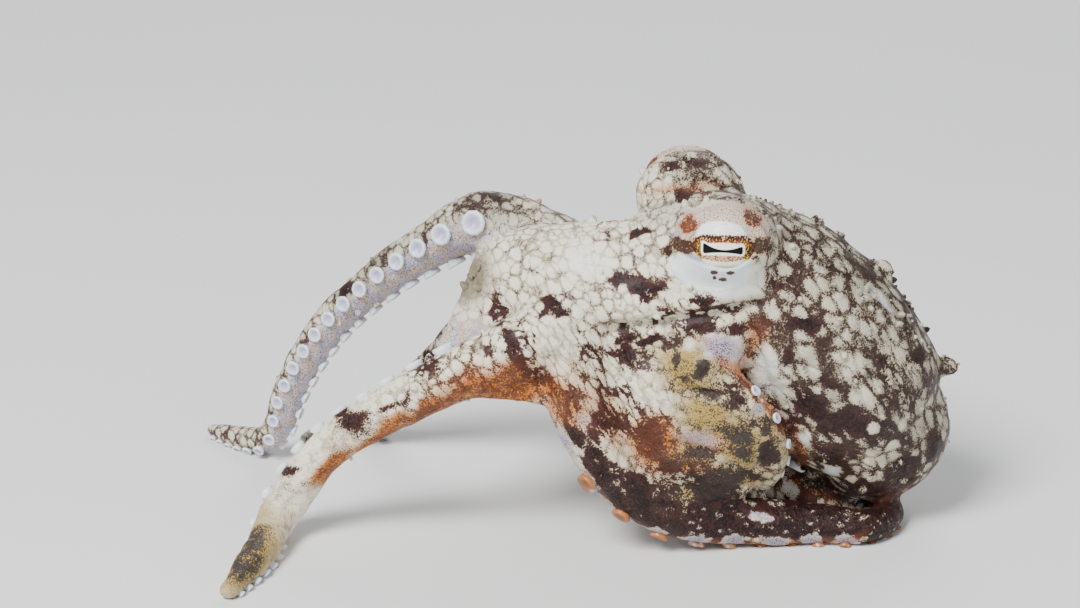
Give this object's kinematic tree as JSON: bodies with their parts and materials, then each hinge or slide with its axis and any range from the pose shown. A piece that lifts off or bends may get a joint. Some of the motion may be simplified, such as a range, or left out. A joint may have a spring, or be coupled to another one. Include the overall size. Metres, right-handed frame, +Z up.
{
  "type": "octopus",
  "caption": "Small veined octopus, life size, raised on spread arms with its web held up, its sac-like mantle hanging behind the head.",
  "frame": {"origin": "on the floor, under the middle of the model's bounding box", "axes": "+Z up, +X from the spread front arms towards the hanging mantle, +Y towards the animal's right side"},
  "size_m": [0.0632, 0.039, 0.0304],
  "materials": {
    "skin": "moist, mottled, satin",
    "dark_skin": "moist, dark brown with pale spots",
    "web_skin": "thin, moist, dotted orange-brown",
    "funnel_skin": "smooth, moist, pale",
    "sucker": "smooth, moist, pale rims",
    "eye": "clear, wet, glossy"
  },
  "bodies": {
    "root": {"head": "skin", "mantle": "skin", "funnel": "funnel_skin", "eye_left": "eye", "eye_right": "eye", "arm_l1_base": "skin", "arm_l1_mid": "skin", "arm_l1_tip": "skin", "arm_l2_base": "dark_skin", "arm_l2_mid": "dark_skin", "arm_l2_tip": "dark_skin", "arm_l3_base": "skin", "arm_l3_mid": "skin", "arm_l3_tip": "skin", "arm_l4_base": "skin", "arm_l4_mid": "skin", "arm_l4_tip": "skin", "arm_r4_base": "skin", "arm_r4_mid": "skin", "arm_r4_tip": "skin", "arm_r3_base": "skin", "arm_r3_mid": "skin", "arm_r3_tip": "skin", "arm_r2_base": "skin", "arm_r2_mid": "skin", "arm_r2_tip": "skin", "arm_r1_base": "skin", "arm_r1_mid": "skin", "arm_r1_tip": "skin", "web_r1_l1": "web_skin", "web_l1_l2": "web_skin", "web_l2_l3": "web_skin", "web_l3_l4": "web_skin", "web_l4_r4": "web_skin", "web_r4_r3": "web_skin", "web_r3_r2": "web_skin", "web_r2_r1": "web_skin"}
  },
  "joints": []
}
